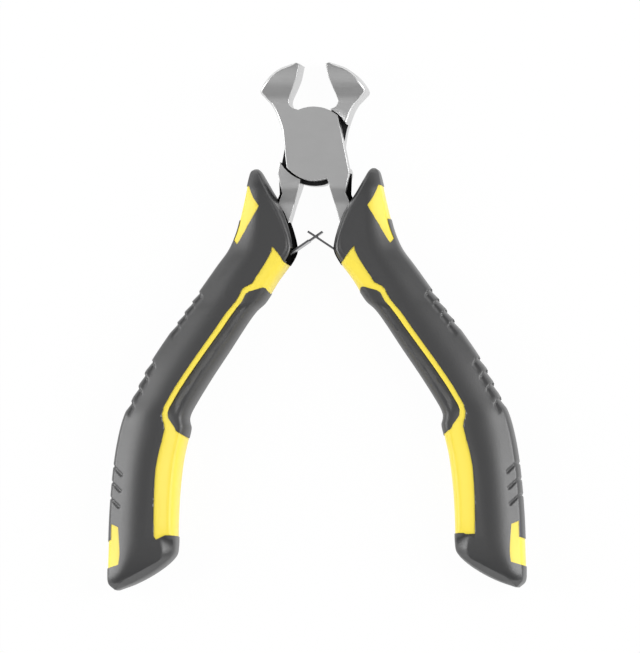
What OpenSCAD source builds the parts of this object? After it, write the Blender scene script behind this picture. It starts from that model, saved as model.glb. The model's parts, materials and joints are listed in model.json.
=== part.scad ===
// Mini end cutting nippers, held open by two crossed leaf springs.
// They lie flat: +Y runs to the jaws, +Z is the front face, and the origin is under the middle.

/* [Joint] */
// Thickness of the two lapped plates together
joint_thickness = 7.6; // [6.6:0.1:9]
// Radius of each round lap plate
lap_radius = 7.4; // [6.8:0.1:8]
// Radius of the rear plate's lobe, which shows below the front plate
lobe_radius = 8.3; // [7.6:0.1:9]
// Distance from the pivot to the straight edge of a plate on its tang's side
plate_edge = 6.1; // [5.4:0.1:6.3]
// Lean of that edge
plate_edge_lean = 12; // [6:0.1:14]
// Direction from the pivot to the plate's corner below its jaw
plate_corner_turn = 222; // [216:0.5:228]
// Distance from the pivot to that corner
plate_corner_reach = 7.2; // [6.6:0.1:7.4]
// Direction from the pivot to where the jaw's hollow meets the plate
throat_turn = 114; // [110:0.5:118]
// Gap between a plate's rim and the shoulder round it
shoulder_gap = 0.25; // [0.15:0.05:0.6]
// Gap between the two lap faces
lap_gap = 0.06; // [0.02:0.02:0.2]
// Radius of the pivot rivet's shank
rivet_radius = 2.3; // [1.8:0.1:2.8]
// Radius of the rivet's flush head at the back
rivet_head_radius = 3.4; // [3:0.1:4.2]
// Height of the rivet's head
rivet_head_height = 1.2; // [0.8:0.1:1.8]
// Radial clearance of the rivet in the rear lever
rivet_clearance = 0.05; // [0.02:0.01:0.1]
// Steel left over the blind end of the rivet
rivet_skin = 1; // [0.6:0.1:1.4]

/* [Jaws] */
// Height of the jaws above the pivot
jaw_reach = 16.2; // [14:0.1:19]
// Distance from the middle line to the flared corner of a jaw
jaw_half_span = 10.6; // [9.5:0.1:12]
// Width of the jaws at the root of the cutting edges
jaw_width = 10; // [9:0.1:12]
// Width of the jaws at their tips
jaw_tip_width = 9.4; // [8:0.1:11]
// Height above the pivot where a jaw starts to swell out of its plate
swell_start = 8.6; // [8:0.1:9.4]
// Height above the pivot where a jaw has its whole width
swell_end = 11.8; // [11:0.1:13]

/* [Tangs] */
// Distance from the middle line to a tang's inner edge at the joint
neck_inset = 2.7; // [2.2:0.1:3.2]
// Width of a tang at the joint
neck_width = 4.5; // [3.8:0.1:4.8]
// Drop from the pivot to the neck
neck_drop = 7.4; // [6.8:0.1:8]
// Thickness of a tang inside its grip
tang_thickness = 5.2; // [4.4:0.1:5.8]
// Drop from the pivot to where a tang starts to thin
thinning_start = 9; // [8.6:0.1:10]
// Drop from the pivot to where a tang is thin
thinning_end = 12.5; // [11.5:0.1:13.5]

/* [Grips] */
// Drop from the pivot to the tips of the thumb guards
guard_drop = 4.9; // [4.4:0.1:5.4]
// Height of a grip from its thumb guard's tip to its heel
grip_length = 84; // [78:0.5:92]
// Distance from the middle line to the outermost side of a grip
half_spread = 42; // [40:0.1:45]
// Thickness of the grips
grip_thickness = 11; // [10:0.1:13]
// Thickness of the hard sleeve under the rubber
sleeve_thickness = 7.4; // [6.8:0.1:7.6]
// Depth of the hard core's faces below the rubber
core_drop = 0.15; // [0.05:0.05:0.3]
// Width of the thin fin that the grip sends up beside a tang
fin_width = 0.7; // [0.4:0.1:1]
// Thickness of that fin
fin_thickness = 6; // [5.4:0.1:7]

/* [Springs] */
// Width of a spring leaf
leaf_width = 3.6; // [3:0.1:4]
// Thickness of a spring leaf
leaf_thickness = 0.4; // [0.3:0.05:0.5]
// Length of a leaf's free blade
blade_length = 12.9; // [12:0.1:13.5]
// Rise of a blade above the horizontal
blade_angle = 34; // [30:1:38]
// Distance from the top of a tang's spring seat to the leaf's bend
bend_drop = 5.2; // [4.8:0.1:5.6]
// Length of a leaf's tab along the seat
tab_length = 4.6; // [4:0.1:5]
// Width of the left leaf's tongue
tongue_width = 1.4; // [1:0.1:1.6]
// Width of the right leaf's slot
slot_width = 2.2; // [2:0.1:2.4]
// Length of the tongue, and of the slot, before the place where the leaves cross
split_lead = 1.6; // [1:0.1:2]
// Radius of a spring rivet's shank
leaf_rivet_radius = 0.7; // [0.5:0.05:0.9]
// Radius of a spring rivet's head
leaf_rivet_head_radius = 1.3; // [1.1:0.05:1.5]
// Height of a spring rivet's head
leaf_rivet_head_height = 0.5; // [0.3:0.05:0.7]
// Depth of a spring rivet in its tang
leaf_rivet_depth = 2.2; // [1.6:0.1:2.6]
// Room round a leaf in its grip
pocket_clearance = 0.4; // [0.3:0.05:0.5]
// Room for a blade to swing up in its grip
pocket_swing = 10; // [6:1:14]

/* [Hidden] */
$fn = 96;

// How far a cut runs past what it cuts
overrun = 1;
joint_half = joint_thickness / 2;
tang_half = tang_thickness / 2;
lap_half_gap = lap_gap / 2;
// Taller than half of any piece
tall = max(jaw_width, grip_thickness) + overrun;

// A jaw's outline on the left of the middle line, as shares of the half span and the reach.
// The outer side runs from the cutting edge round the flared corner down to the pivot's height.
jaw_outer_shares = [
    [-0.31, 1], [-0.6, 0.935], [-0.78, 0.855], [-0.915, 0.755], [-1, 0.645], [-0.905, 0.56],
    [-0.805, 0.49], [-0.73, 0.41], [-0.65, 0.28], [-0.59, 0.15], [-0.55, 0], [-0.535, -0.14]
];
// The inner side runs from the foot of the cutting land down the hollow to the throat.
jaw_inner_shares = [
    [-0.3, 0.82], [-0.38, 0.685], [-0.435, 0.6], [-0.465, 0.535], [-0.45, 0.48], [-0.4, 0.445]
];
cutting_edge_share = [-0.245, 0.981];
// Steps in each curved stretch of a jaw's outline, in a plate's rims, and in the swell of a jaw's face
jaw_steps = 6;
rim_steps = 24;
swell_steps = 8;
// How much of the lower rim the lobe takes to rise
lobe_rise_share = 0.55;

// A grip's two edges: rows of a share down the grip and a share of the half spread.
grip_outer_shares = [
    [0, 0.29], [0.006, 0.305], [0.025, 0.317], [0.06, 0.332], [0.118, 0.36], [0.156, 0.382], [0.194, 0.417],
    [0.23, 0.47], [0.3, 0.57], [0.38, 0.684], [0.465, 0.798], [0.54, 0.873], [0.587, 0.92], [0.645, 0.951],
    [0.715, 0.973], [0.81, 0.99], [0.905, 0.998], [0.965, 1], [0.987, 0.993], [1, 0.965]
];
grip_inner_shares = [
    [0, 0.271], [0.006, 0.258], [0.025, 0.235], [0.058, 0.197], [0.1, 0.144], [0.132, 0.117], [0.163, 0.098],
    [0.18, 0.091], [0.194, 0.089], [0.208, 0.098], [0.23, 0.124], [0.265, 0.175], [0.302, 0.221],
    [0.32, 0.247], [0.335, 0.281], [0.36, 0.32], [0.43, 0.412], [0.5, 0.506], [0.568, 0.59], [0.588, 0.607],
    [0.6, 0.607], [0.614, 0.601], [0.64, 0.612], [0.69, 0.634], [0.765, 0.652], [0.835, 0.66], [0.9, 0.664],
    [0.92, 0.675], [0.944, 0.722], [0.968, 0.794], [0.987, 0.871], [1, 0.945]
];
// How thick the grip is, and how deep the trough along its face is, down the grip
grip_thick_shares = [
    [0, 0.45], [0.01, 0.6], [0.05, 0.82], [0.15, 0.94], [0.3, 1], [0.86, 1], [0.95, 0.94], [1, 0.6]
];
trough_depth_shares = [
    [0, 0], [0.06, 0.05], [0.16, 0.16], [0.28, 0.1], [0.36, 0.04], [0.55, 0.06], [0.66, 0.18], [0.86, 0.18],
    [0.95, 0.06], [1, 0]
];
trough_across_share = 0.64;
trough_width_share = 0.2;
// Power of the rounded cross section, where 2 is an ellipse and more is squarer.
// The inner side is squarest at the grip's nose.
outer_power = 2.6;
inner_powers = [[0, 2.6], [0.1, 3.4], [0.2, 4.6], [0.28, 4.6], [0.38, 3], [0.5, 2.6], [1, 2.6]];
grip_rings = 44;
grip_sides = 24;

// Outlines on a grip's face, as shares down the grip and across it from the outer side to the inner one.
// A share across that is under 0 or over 1 lies outside the grip.
frame_outer_shares = [
    [0.187, 0.665], [0.24, 0.685], [0.275, 0.695], [0.283, 0.632], [0.289, 0.612], [0.33, 0.645],
    [0.38, 0.646], [0.427, 0.632], [0.48, 0.615], [0.523, 0.591], [0.568, 0.59], [0.585, 0.612],
    [0.608, 0.652], [0.62, 0.668], [0.65, 0.667], [0.715, 0.648], [0.81, 0.67], [0.885, 0.685],
    [0.873, 0.845], [0.874, 1.15]
];
frame_pad_shares = [
    [0.64, 1.15], [0.639, 1], [0.625, 0.845], [0.594, 0.725], [0.58, 0.69], [0.568, 0.68], [0.526, 0.682],
    [0.48, 0.704], [0.429, 0.72], [0.38, 0.739], [0.345, 0.74], [0.321, 0.728], [0.3, 0.703],
    [0.294, 0.735], [0.285, 0.89], [0.287, 0.93], [0.298, 1], [0.3, 1.15]
];
frame_nose_shares = [[0.23, 1.15], [0.23, 1], [0.223, 0.92]];
upper_window_shares = [
    [0.042, -0.2], [0.042, 0.14], [0.09, 0.453], [0.181, 0.115], [0.17, 0.03], [0.123, 0.04], [0.118, -0.2]
];
lower_window_shares = [
    [0.844, 0.055], [0.852, 0.164], [0.942, 0.218], [0.958, -0.2], [0.894, -0.2], [0.882, 0.06]
];

// The hard sleeve and the tang inside a grip
sleeve_down_shares = [0.13, 0.2, 0.3, 0.4, 0.5, 0.6, 0.7, 0.8, 0.9];
sleeve_across_shares = [0.11, 0.9];
mouth_share = [0.139, 0.94];
seat_down_shares = [0.18, 0.296];
tang_down_shares = [0.376, 0.477, 0.57, 0.65, 0.72];
tang_across_shares = [0.47, 0.77];
// The neck's outer edge: shares of the neck's drop and of its width
neck_outer_shares = [[0.8, 1], [1.35, 0.81]];
// Where the fin's foot lies on the grip
fin_foot_shares = [[0.085, 0.85], [0.12, 0.85]];
// Where the spring rivet sits along the tab
leaf_rivet_share = 0.55;
// Where the pocket meets the blade's underside
pocket_knee_share = 0.2;

// The value at a place on the smooth curve through a table's rows
function row_before(rows, place, i = 0) =
    i >= len(rows) - 2 || place < rows[i + 1][0] ? i : row_before(rows, place, i + 1);
function slope_at(rows, i) =
    let (a = rows[max(i - 1, 0)], b = rows[min(i + 1, len(rows) - 1)])
    (b[1] - a[1]) / (b[0] - a[0]);
function value_at(rows, place) =
    let (
        i = row_before(rows, place),
        step = rows[i + 1][0] - rows[i][0],
        t = (place - rows[i][0]) / step,
        ease = t * t * (3 - 2 * t)
    )
    rows[i][1] * (1 - ease) + rows[i + 1][1] * ease
    + step * t * (1 - t) * ((1 - t) * slope_at(rows, i) - t * slope_at(rows, i + 1));

// A smooth path through points, with some steps between each two
function path_at(points, i, t) =
    let (
        a = points[max(i - 1, 0)],
        b = points[i],
        c = points[i + 1],
        d = points[min(i + 2, len(points) - 1)]
    )
    b + t / 2 * ((c - a) + t * ((2 * a - 5 * b + 4 * c - d) + t * (3 * b - a - 3 * c + d)));
function smooth_path(points, steps) = [
    for (i = [0 : len(points) - 2]) for (k = [0 : steps - 1]) path_at(points, i, k / steps),
    points[len(points) - 1]
];
function reversed(list) = [for (i = [len(list) - 1 : -1 : 0]) list[i]];
function mid(a, b, share) = a + share * (b - a);

// Places on the right grip
function grip_y(down) = -guard_drop - down * grip_length;
function grip_outer_x(down) = half_spread * value_at(grip_outer_shares, down);
function grip_inner_x(down) = half_spread * value_at(grip_inner_shares, down);
function grip_at(down, across) = [mid(grip_outer_x(down), grip_inner_x(down), across), grip_y(down)];
function grip_points(shares) = [for (share = shares) grip_at(share[0], share[1])];

// One point of the grip's rounded form, with its faces a drop below the rubber's
function squared_off(turn, power) = sign(turn) * pow(abs(turn), 2 / power);
function ring_share(i) = (1 - cos(180 * i / grip_rings)) / 2;
function form_point(down, turn, drop) =
    let (
        power = cos(turn) < 0 ? value_at(inner_powers, down) : outer_power,
        across = (1 - squared_off(cos(turn), power)) / 2,
        height = grip_thickness / 2 * value_at(grip_thick_shares, down) - drop,
        aside = (across - trough_across_share) / trough_width_share,
        dip = value_at(trough_depth_shares, down) * exp(-aside * aside)
    )
    [
        mid(grip_outer_x(down) - drop, grip_inner_x(down) + drop, across),
        grip_y(down),
        height * squared_off(sin(turn), power) * (1 - dip)
    ];
function form_points(drop) = [
    for (i = [0 : grip_rings]) for (k = [0 : grip_sides - 1])
        form_point(ring_share(i), 360 * k / grip_sides, drop)
];

// The jaw's two sides
function turned(radius, turn) = radius * [cos(turn), sin(turn)];
function jaw_point(share) = [share[0] * jaw_half_span, share[1] * jaw_reach];
plate_corner = turned(plate_corner_reach, plate_corner_turn);
jaw_outer = concat(
    [jaw_point(cutting_edge_share)],
    smooth_path(concat([for (share = jaw_outer_shares) jaw_point(share)], [plate_corner]), jaw_steps)
);
jaw_inner = reversed(smooth_path(
    concat([for (share = jaw_inner_shares) jaw_point(share)], [turned(lap_radius, throat_turn)]),
    jaw_steps
));
jaw_outline = concat(jaw_outer, [[0, 0]], jaw_inner);

// The right tang's spring seat, and the leaf that lies on it
seat_top = grip_at(seat_down_shares[0], tang_across_shares[1]);
seat_low = grip_at(seat_down_shares[1], tang_across_shares[1]);
seat_along = (seat_low - seat_top) / norm(seat_low - seat_top);
seat_out = [seat_along[1], -seat_along[0]];
seat_turn = atan2(seat_out[1], seat_out[0]);
leaf_bend = seat_top + bend_drop * seat_along;
tab_end = leaf_bend + tab_length * seat_along;
blade_turn = 180 - blade_angle;
blade_along = [cos(blade_turn), sin(blade_turn)];
blade_under = [-blade_along[1], blade_along[0]];
blade_tip = leaf_bend + blade_length * blade_along;
leaf_rivet_at = mid(leaf_bend, tab_end, leaf_rivet_share);
// Distance from the bend to where the two leaves cross
cross_reach = leaf_bend[0] / cos(blade_angle);
bend_inside = (seat_out + blade_under) / (1 + seat_out * blade_under);

// The tang's two sides, from the neck down
function neck_outer_at(share) = [neck_inset + share[1] * neck_width, -share[0] * neck_drop];
tang_inner = concat(
    [grip_at(mouth_share[0], mouth_share[1]), seat_top, seat_low],
    [for (down = tang_down_shares) grip_at(down, tang_across_shares[1])]
);
tang_outer = concat(
    [for (down = reversed(tang_down_shares)) grip_at(down, tang_across_shares[0])],
    [for (down = reversed(seat_down_shares)) grip_at(down, tang_across_shares[0])],
    [for (share = reversed(neck_outer_shares)) neck_outer_at(share)]
);
function neck_start(lobe) = [neck_inset, -sqrt(lobe * lobe - neck_inset * neck_inset)];
function tang_outline(lobe) = concat([[0, 0], neck_start(lobe)], tang_inner, tang_outer);

// A plate's lower rim rises to its lobe, and its upper rim ends at its straight edge
function rim_radius(lobe, share) =
    let (t = min(share / lobe_rise_share, 1))
    mid(plate_corner_reach, lobe, t * t * (3 - 2 * t));
function lower_rim(lobe) =
    let (start = neck_start(lobe), end_turn = 360 + atan2(start[1], start[0]))
    [
        for (k = [1 : rim_steps - 1])
            turned(rim_radius(lobe, k / rim_steps), mid(plate_corner_turn, end_turn, k / rim_steps)),
        start
    ];
edge_turn = acos(plate_edge * cos(plate_edge_lean) / lap_radius) + plate_edge_lean;
upper_rim = [for (k = [0 : rim_steps - 1]) turned(lap_radius, mid(edge_turn, throat_turn, k / rim_steps))];
function lever_outline(lobe) =
    concat(jaw_outer, lower_rim(lobe), tang_inner, tang_outer, upper_rim, jaw_inner);

// The origin lies under the middle of the whole tool
jaw_top = max([for (point = jaw_outline) point[1]]);
heel_y = grip_y(1);
middle_y = (jaw_top + heel_y) / 2;
rest_height = max([for (point = form_points(0)) point[2]]);
closing_turn = 2 * atan2(-cutting_edge_share[0] * jaw_half_span, cutting_edge_share[1] * jaw_reach);
echo(pivot = [0, -middle_y, rest_height], closing_turn = closing_turn);

module placed() {
    translate([0, -middle_y, rest_height]) children();
}

module left_side() {
    rotate([0, 180, 0]) children();
}

module slab(thickness) {
    linear_extrude(thickness, center = true) children();
}

// Room for the other lever's lap plate to turn in
module turning_room(lobe) {
    circle(lap_radius + shoulder_gap);
    intersection() {
        circle(lobe + shoulder_gap);
        translate([-2 * lobe_radius, -2 * lobe_radius]) square([4 * lobe_radius, 2 * lobe_radius]);
    }
}

// How thick the levers are from the jaws down to the tangs
module side_profile() {
    swell = [
        for (k = [0 : swell_steps])
            let (t = k / swell_steps)
            [mid(swell_start, swell_end, t), mid(joint_half, jaw_width / 2, t * t)]
    ];
    upper = concat(
        [[heel_y, tang_half], [-thinning_end, tang_half], [-thinning_start, joint_half]],
        swell,
        [[jaw_top, jaw_tip_width / 2], [jaw_top + overrun, jaw_tip_width / 2]]
    );
    lower = reversed([for (point = upper) [point[0], -point[1]]]);
    rotate([90, 0, 90]) slab(3 * half_spread) polygon(concat(upper, lower));
}

// One lever with its jaw on the left, its plate in front and its tang on the right
module lever(own_lobe, other_lobe) {
    difference() {
        intersection() {
            union() {
                translate([0, 0, lap_half_gap]) linear_extrude(tall) polygon(lever_outline(own_lobe));
                translate([0, 0, -tall]) linear_extrude(tall + lap_half_gap) difference() {
                    union() {
                        polygon(jaw_outline);
                        polygon(tang_outline(own_lobe));
                    }
                    turning_room(other_lobe);
                }
            }
            side_profile();
        }
        leaf_rivet_place() translate([0, 0, -leaf_rivet_depth])
            cylinder(leaf_rivet_depth + overrun, r = leaf_rivet_radius);
    }
}

module front_lever() {
    color("silver") placed() difference() {
        lever(lap_radius, lobe_radius);
        cylinder(joint_half - rivet_skin, r = rivet_radius);
    }
}

module rear_lever() {
    color("silver") placed() difference() {
        left_side() lever(lobe_radius, lap_radius);
        slab(tall) circle(rivet_radius + rivet_clearance);
        translate([0, 0, -joint_half - overrun])
            cylinder(overrun + rivet_head_height + rivet_clearance, r = rivet_head_radius + rivet_clearance);
    }
}

module pivot_rivet() {
    color("dimgray") placed() translate([0, 0, -joint_half]) {
        cylinder(joint_thickness - rivet_skin, r = rivet_radius);
        cylinder(rivet_head_height, r = rivet_head_radius);
    }
}

module leaf_rivet_place() {
    translate(leaf_rivet_at) rotate([0, 90, seat_turn]) children();
}

// A leaf on the right: its tab lies on the tang, and its blade rises past the middle line
module whole_leaf() {
    difference() {
        slab(leaf_width) polygon([
            tab_end, leaf_bend, blade_tip, blade_tip + leaf_thickness * blade_under,
            leaf_bend + leaf_thickness * bend_inside, tab_end + leaf_thickness * seat_out
        ]);
        leaf_rivet_place() translate([0, 0, -overrun])
            cylinder(leaf_thickness + 2 * overrun, r = leaf_rivet_radius);
    }
}

module blade_end_plan() {
    split_start = cross_reach - split_lead;
    translate(leaf_bend) rotate(blade_turn) translate([split_start, -overrun])
        square([blade_length - split_start + overrun, leaf_thickness + 2 * overrun]);
}

module left_spring_leaf() {
    color("gainsboro") placed() left_side() difference() {
        whole_leaf();
        for (side = [-1, 1])
            translate([0, 0, side * (tongue_width + leaf_width) / 2]) slab(leaf_width) blade_end_plan();
    }
}

module right_spring_leaf() {
    color("gainsboro") placed() difference() {
        whole_leaf();
        slab(slot_width) blade_end_plan();
    }
}

module spring_rivet() {
    leaf_rivet_place() {
        translate([0, 0, -leaf_rivet_depth])
            cylinder(leaf_rivet_depth + leaf_thickness, r = leaf_rivet_radius);
        translate([0, 0, leaf_thickness]) cylinder(leaf_rivet_head_height, r = leaf_rivet_head_radius);
    }
}

module left_spring_rivet() {
    color("gray") placed() left_side() spring_rivet();
}

module right_spring_rivet() {
    color("gray") placed() spring_rivet();
}

// The rounded form of a grip, one ring below another
module grip_form(drop) {
    rings = [
        for (i = [0 : grip_rings - 1]) for (k = [0 : grip_sides - 1])
            let (
                next = (k + 1) % grip_sides,
                a = i * grip_sides + k,
                b = a + grip_sides,
                c = (i + 1) * grip_sides + next,
                d = i * grip_sides + next
            )
            each [[a, b, c], [a, c, d]]
    ];
    tip = [for (k = [0 : grip_sides - 1]) k];
    heel = reversed([for (k = [0 : grip_sides - 1]) grip_rings * grip_sides + k]);
    polyhedron(form_points(drop), concat(rings, [tip, heel]));
}

module tang() {
    intersection() {
        slab(tall) polygon(concat([[0, -neck_drop]], tang_inner, tang_outer));
        side_profile();
    }
}

module sleeve() {
    outer = [for (down = sleeve_down_shares) grip_at(down, sleeve_across_shares[0])];
    inner = [for (down = reversed(sleeve_down_shares)) grip_at(down, sleeve_across_shares[1])];
    slab(sleeve_thickness) polygon(concat(outer, inner));
}

module yellow_plan() {
    polygon(grip_points(concat(frame_outer_shares, frame_pad_shares, frame_nose_shares)));
    polygon(grip_points(upper_window_shares));
    polygon(grip_points(lower_window_shares));
}

module pad_plan() {
    polygon(grip_points(frame_pad_shares));
}

// What a plan covers on both faces of a grip
module both_faces() {
    slab(2 * grip_thickness) children();
}

// Room inside a grip for the leaf, its rivet and the blade's swing
module spring_pocket() {
    depth = leaf_thickness + leaf_rivet_head_height + pocket_clearance;
    foot = tab_end + pocket_clearance * seat_along;
    under = (leaf_thickness + pocket_clearance) * blade_under;
    swing_turn = blade_turn - pocket_swing;
    inside_tang = overrun * seat_out;
    slab(leaf_width + 2 * pocket_clearance) polygon([
        leaf_bend - depth * seat_along - inside_tang, foot - inside_tang, foot + depth * seat_out,
        leaf_bend + pocket_knee_share * blade_length * blade_along + under,
        blade_tip + under,
        leaf_bend + blade_length * [cos(swing_turn), sin(swing_turn)]
    ]);
}

module grip_core() {
    difference() {
        union() {
            sleeve();
            intersection() {
                grip_form(core_drop);
                both_faces() yellow_plan();
            }
        }
        tang();
        spring_pocket();
    }
}

// The fin is a thin wedge from the grip's top up the neck's outer edge
module fin() {
    top = neck_outer_at(neck_outer_shares[0]);
    low = neck_outer_at(neck_outer_shares[1]);
    slab(fin_thickness) polygon(concat([low, top, low + [fin_width, 0]], grip_points(fin_foot_shares)));
}

module grip_cover() {
    difference() {
        union() {
            grip_form(0);
            fin();
        }
        both_faces() union() {
            yellow_plan();
            pad_plan();
        }
        sleeve();
        tang();
        spring_pocket();
    }
}

module finger_pad() {
    difference() {
        intersection() {
            grip_form(0);
            both_faces() pad_plan();
        }
        sleeve();
    }
}

module left_grip_core() {
    color("gold") placed() left_side() grip_core();
}

module right_grip_core() {
    color("gold") placed() grip_core();
}

module left_grip_cover() {
    color("dimgray") placed() left_side() grip_cover();
}

module right_grip_cover() {
    color("dimgray") placed() grip_cover();
}

module left_finger_pad() {
    color("darkslategray") placed() left_side() finger_pad();
}

module right_finger_pad() {
    color("darkslategray") placed() finger_pad();
}

front_lever();
rear_lever();
pivot_rivet();
left_spring_leaf();
right_spring_leaf();
left_spring_rivet();
right_spring_rivet();
left_grip_core();
right_grip_core();
left_grip_cover();
right_grip_cover();
left_finger_pad();
right_finger_pad();
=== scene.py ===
# %% [markdown]
# # Mini end cutting nippers
# The tool lies open on a pale table, held open by two crossed leaf springs. Two steel levers cross in a
# lapped joint, and each carries a grip moulded in three shots: a hard yellow core, a grey rubber cover and
# a grey finger pad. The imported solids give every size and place. This lesson gives each piece its finished
# skin and its surface.

# %% Load the frame
import json
import math

import bmesh
import bpy
from mathutils import Matrix, Vector


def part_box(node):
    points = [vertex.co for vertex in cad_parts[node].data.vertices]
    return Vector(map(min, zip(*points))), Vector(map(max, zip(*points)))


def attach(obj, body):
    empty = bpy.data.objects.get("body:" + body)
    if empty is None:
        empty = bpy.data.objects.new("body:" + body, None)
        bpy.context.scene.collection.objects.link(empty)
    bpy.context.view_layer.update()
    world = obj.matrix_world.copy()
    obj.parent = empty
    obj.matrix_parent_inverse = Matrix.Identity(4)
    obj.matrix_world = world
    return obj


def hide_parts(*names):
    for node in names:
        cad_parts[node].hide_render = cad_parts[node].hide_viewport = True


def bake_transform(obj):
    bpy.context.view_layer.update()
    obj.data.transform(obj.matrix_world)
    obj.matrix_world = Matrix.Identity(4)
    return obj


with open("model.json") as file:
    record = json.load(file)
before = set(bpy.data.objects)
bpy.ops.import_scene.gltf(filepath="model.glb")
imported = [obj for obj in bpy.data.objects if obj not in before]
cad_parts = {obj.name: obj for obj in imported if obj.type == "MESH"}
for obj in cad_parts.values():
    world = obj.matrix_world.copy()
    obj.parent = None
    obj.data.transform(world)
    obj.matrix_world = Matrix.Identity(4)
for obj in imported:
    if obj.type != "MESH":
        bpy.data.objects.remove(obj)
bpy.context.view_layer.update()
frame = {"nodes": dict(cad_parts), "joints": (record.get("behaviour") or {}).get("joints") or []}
nodes = frame["nodes"]
MM = 0.001
pivot = Vector(frame["joints"][0]["pos_m"])
print("pivot at", [round(c / MM, 2) for c in pivot], "mm")

# %% [markdown]
# ## Finishes
# A finish is a small tree of shader nodes. Every colour is written as the sRGB hex value that a paint chart
# would give, and one function turns it to the linear light that the renderer needs. A second function adds a
# node with its settings and links, so that a whole finish reads like a short recipe.

# %% Colour and node helpers
def linear(hex_colour):
    channels = [int(hex_colour[i:i + 2], 16) / 255 for i in (1, 3, 5)]
    light = [c / 12.92 if c <= 0.04045 else ((c + 0.055) / 1.055) ** 2.4 for c in channels]
    return light + [1]


def add(tree, kind, inputs=None, links=None, **settings):
    node = tree.nodes.new(kind)
    for name, value in settings.items():
        setattr(node, name, value)
    for name, value in (inputs or {}).items():
        node.inputs[name].default_value = value
    for name, (source, output) in (links or {}).items():
        tree.links.new(source.outputs[output], node.inputs[name])
    return node


def new_finish(name):
    finish = bpy.data.materials.new(name)
    finish.use_nodes = True
    finish.node_tree.nodes.clear()
    return finish, finish.node_tree


def per_metre(size_mm):
    """How many times a pattern of that size in millimetres repeats in a metre."""
    return 1 / (size_mm * MM)


print("mid grey is", round(linear("#808080")[0], 3), "in linear light")

# %% [markdown]
# The levers are forged tool steel, ground flat on a belt. Grinding leaves fine parallel scratches, which
# spread a reflection and give the satin look. Noise that is stretched along the belt's direction draws them.
# Real scratches are a few hundredths of a millimetre apart, so here they are drawn coarser to show. Other
# colours in the same recipe make the rolled spring strip, the rivets and the black oxide inside the joint.

# %% Ground steel
SCRATCH_MM = 0.25
SCRATCH_STRETCH = 0.06
SCRATCH_DEPTH = 0.02 * MM
CLOUD_MM = 6


def ground_steel(name, dark, light, rough_low, rough_high, bump):
    finish, tree = new_finish(name)
    place = add(tree, "ShaderNodeTexCoord")
    belt = add(tree, "ShaderNodeMapping", {"Scale": (SCRATCH_STRETCH, 1, 1)}, {"Vector": (place, "Object")})
    scratches = add(tree, "ShaderNodeTexNoise", {"Scale": per_metre(SCRATCH_MM), "Detail": 4},
                    {"Vector": (belt, "Vector")})
    clouds = add(tree, "ShaderNodeTexNoise", {"Scale": per_metre(CLOUD_MM), "Detail": 3},
                 {"Vector": (place, "Object")})
    colour = add(tree, "ShaderNodeMix", {6: linear(dark), 7: linear(light)}, {0: (clouds, "Fac")},
                 data_type="RGBA")
    rough = add(tree, "ShaderNodeMapRange", {"To Min": rough_low, "To Max": rough_high},
                {"Value": (scratches, "Fac")})
    relief = add(tree, "ShaderNodeBump", {"Strength": bump, "Distance": SCRATCH_DEPTH},
                 {"Height": (scratches, "Fac")})
    shader = add(tree, "ShaderNodeBsdfPrincipled", {"Metallic": 1},
                 {"Base Color": (colour, 2), "Roughness": (rough, "Result"), "Normal": (relief, "Normal")})
    add(tree, "ShaderNodeOutputMaterial", None, {"Surface": (shader, "BSDF")})
    return finish


# Pale satin grey: flat faces mirror the dim sky overhead, and the ground rims catch the light lower down.
satin_steel = ground_steel("satin_ground_steel", "#cacaca", "#d4d4d4", 0.32, 0.42, 0.25)
# Darker and smoother, so that a thin strip still reads against the white table.
spring_steel = ground_steel("bright_rolled_spring_steel", "#77777a", "#8b8b8d", 0.2, 0.3, 0.1)
# A dull middle grey.
rivet_steel = ground_steel("turned_rivet_steel", "#8f8f90", "#a2a2a3", 0.3, 0.45, 0.2)
# Nearly black, so that the joint reads as a deep line round the plate.
oxide_steel = ground_steel("black_oxide_steel", "#2a2a2b", "#39393a", 0.45, 0.6, 0.2)
print("steel finishes:", satin_steel.name, spring_steel.name, rivet_steel.name, oxide_steel.name)

# %% [markdown]
# The covers are thermoplastic rubber from a spark-eroded mould, which prints a fine even grain on them. The
# hard yellow core comes from a smoother mould, so its grain is shallower. One recipe serves them all,
# because only the colour, the roughness, the grain's depth and the strength of the sheen differ. The grain is
# drawn a few times coarser than the real one, to show.

# %% Moulded rubber and plastic
GRAIN_MM = 0.35
GRAIN_STRENGTH = 0.5
ROUGHNESS_SPREAD = 0.06
MOULDED_IOR = 1.5
BLOOM_MM = 9


def moulded(name, dark, light, roughness, grain_depth, specular):
    finish, tree = new_finish(name)
    place = add(tree, "ShaderNodeTexCoord")
    grain = add(tree, "ShaderNodeTexNoise", {"Scale": per_metre(GRAIN_MM), "Detail": 2},
                {"Vector": (place, "Object")})
    bloom = add(tree, "ShaderNodeTexNoise", {"Scale": per_metre(BLOOM_MM), "Detail": 3},
                {"Vector": (place, "Object")})
    colour = add(tree, "ShaderNodeMix", {6: linear(dark), 7: linear(light)}, {0: (bloom, "Fac")},
                 data_type="RGBA")
    spread = {"To Min": roughness - ROUGHNESS_SPREAD, "To Max": roughness + ROUGHNESS_SPREAD}
    rough = add(tree, "ShaderNodeMapRange", spread, {"Value": (grain, "Fac")})
    relief = add(tree, "ShaderNodeBump", {"Strength": GRAIN_STRENGTH, "Distance": grain_depth * MM},
                 {"Height": (grain, "Fac")})
    shader = add(tree, "ShaderNodeBsdfPrincipled", {"IOR": MOULDED_IOR, "Specular IOR Level": specular},
                 {"Base Color": (colour, 2), "Roughness": (rough, "Result"), "Normal": (relief, "Normal")})
    add(tree, "ShaderNodeOutputMaterial", None, {"Surface": (shader, "BSDF")})
    return finish


# Nearly black in itself: the soft boxes lift its facets to a mid grey.
grey_rubber = moulded("spark_textured_grey_rubber", "#242425", "#2a2a2b", 0.38, 0.02, 1)
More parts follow.
